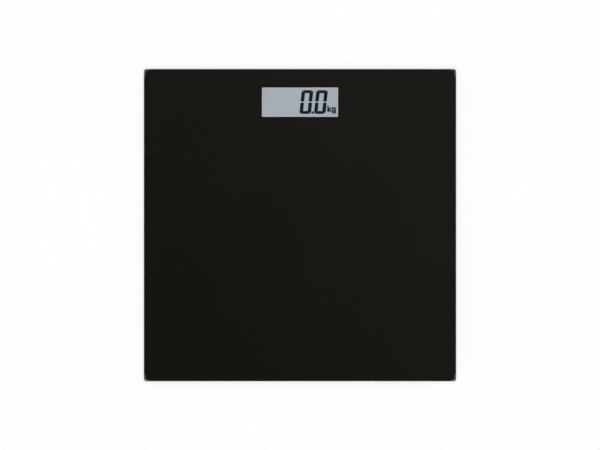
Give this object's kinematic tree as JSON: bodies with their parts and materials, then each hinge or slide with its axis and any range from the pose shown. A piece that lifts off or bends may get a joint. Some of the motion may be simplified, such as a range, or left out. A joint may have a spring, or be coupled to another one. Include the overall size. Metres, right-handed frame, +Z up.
{
  "type": "digital bathroom scale",
  "caption": "Square digital bathroom scale: black-backed glass platform with a readout window, on load-cell feet, with a unit button and a hinged battery door below.",
  "frame": {"origin": "on the floor, under the centre of the platform", "axes": "+Z up, +Y to the edge with the display, +X to the right of someone who reads the display"},
  "size_m": [0.3, 0.3, 0.024],
  "materials": {
    "platform_glass": "polished, with ground edges",
    "black_print": "opaque black print seen through the glass",
    "foam": "closed-cell foam tape",
    "tray_plastic": "fine spark texture",
    "frame_plastic": "plain moulded",
    "screw_steel": "zinc plated",
    "display_film": "polarising film",
    "display_glass": "thin clear glass",
    "display_ground": "grey reflecting film",
    "contact_rubber": "layered conductive rubber",
    "board_laminate": "solder resist",
    "resin": "resin drop",
    "component": "chip components",
    "switch_plastic": "plain moulded",
    "plunger_plastic": "plain moulded",
    "button_plastic": "satin",
    "cell_can": "plain sleeved can",
    "contact_nickel": "nickel plated",
    "wire_sleeve": "insulated wire",
    "foot_plastic": "satin moulded",
    "pad_rubber": "soft rubber",
    "load_cell_steel": "stamped and nickel plated",
    "silicone": "silicone coat",
    "holder_plastic": "plain moulded"
  },
  "bodies": {
    "scale": {"glass_platform": "platform_glass", "backing_print": "black_print", "glass_tape": "foam", "corner_tape_pads": "foam", "base_tray": "tray_plastic", "holder_screws": "screw_steel", "lcd_gasket": "foam", "lcd_frame": "frame_plastic", "lcd_polariser": "display_film", "lcd_front_glass": "display_glass", "lcd_rear_glass": "display_glass", "lcd_reflector": "display_ground", "zebra_strip_upper": "contact_rubber", "zebra_strip_lower": "contact_rubber", "lcd_frame_screws": "screw_steel", "circuit_board": "board_laminate", "board_screws": "screw_steel", "controller_chip": "resin", "board_components": "component", "unit_switch": "switch_plastic", "battery_upper": "cell_can", "battery_lower": "cell_can", "contact_positive": "contact_nickel", "contact_negative": "contact_nickel", "contact_bridge": "contact_nickel", "contact_springs": "contact_nickel", "battery_lead": "wire_sleeve", "load_cell_front_left": "load_cell_steel", "strain_gauge_front_left": "silicone", "cell_holder_front_left": "holder_plastic", "cell_lead_front_left": "wire_sleeve", "load_cell_front_right": "load_cell_steel", "strain_gauge_front_right": "silicone", "cell_holder_front_right": "holder_plastic", "cell_lead_front_right": "wire_sleeve", "load_cell_rear_left": "load_cell_steel", "strain_gauge_rear_left": "silicone", "cell_holder_rear_left": "holder_plastic", "cell_lead_rear_left": "wire_sleeve", "load_cell_rear_right": "load_cell_steel", "strain_gauge_rear_right": "silicone", "cell_holder_rear_right": "holder_plastic", "cell_lead_rear_right": "wire_sleeve"},
    "foot_front_left": {"foot_front_left": "foot_plastic", "foot_pad_front_left": "pad_rubber"},
    "foot_front_right": {"foot_front_right": "foot_plastic", "foot_pad_front_right": "pad_rubber"},
    "foot_rear_left": {"foot_rear_left": "foot_plastic", "foot_pad_rear_left": "pad_rubber"},
    "foot_rear_right": {"foot_rear_right": "foot_plastic", "foot_pad_rear_right": "pad_rubber"},
    "unit_button": {"unit_button": "button_plastic", "switch_plunger": "plunger_plastic"},
    "battery_door": {"battery_door": "tray_plastic"}
  },
  "joints": [
    {"name": "foot_press_front_left", "type": "slide", "parent": "scale", "child": "foot_front_left", "axis": [0, 0, 1], "range_m": [0, 0.0005], "stiffness_N_per_m": 5000, "springref_m": -0.0016, "deforming": ["load_cell_front_left"]},
    {"name": "foot_press_front_right", "type": "slide", "parent": "scale", "child": "foot_front_right", "axis": [0, 0, 1], "range_m": [0, 0.0005], "stiffness_N_per_m": 5000, "springref_m": -0.0016, "deforming": ["load_cell_front_right"]},
    {"name": "foot_press_rear_left", "type": "slide", "parent": "scale", "child": "foot_rear_left", "axis": [0, 0, 1], "range_m": [0, 0.0005], "stiffness_N_per_m": 5000, "springref_m": -0.0016, "deforming": ["load_cell_rear_left"]},
    {"name": "foot_press_rear_right", "type": "slide", "parent": "scale", "child": "foot_rear_right", "axis": [0, 0, 1], "range_m": [0, 0.0005], "stiffness_N_per_m": 5000, "springref_m": -0.0016, "deforming": ["load_cell_rear_right"]},
    {"name": "unit_button_press", "type": "slide", "parent": "scale", "child": "unit_button", "axis": [0, 0, 1], "range_m": [0, 0.0004], "stiffness_N_per_m": 4000, "springref_m": -0.0004},
    {"name": "battery_door_hinge", "type": "hinge", "parent": "scale", "child": "battery_door", "pos_m": [0, 0.03135, 0.006], "axis": [-1, 0, 0], "range_deg": [0, 90]}
  ]
}
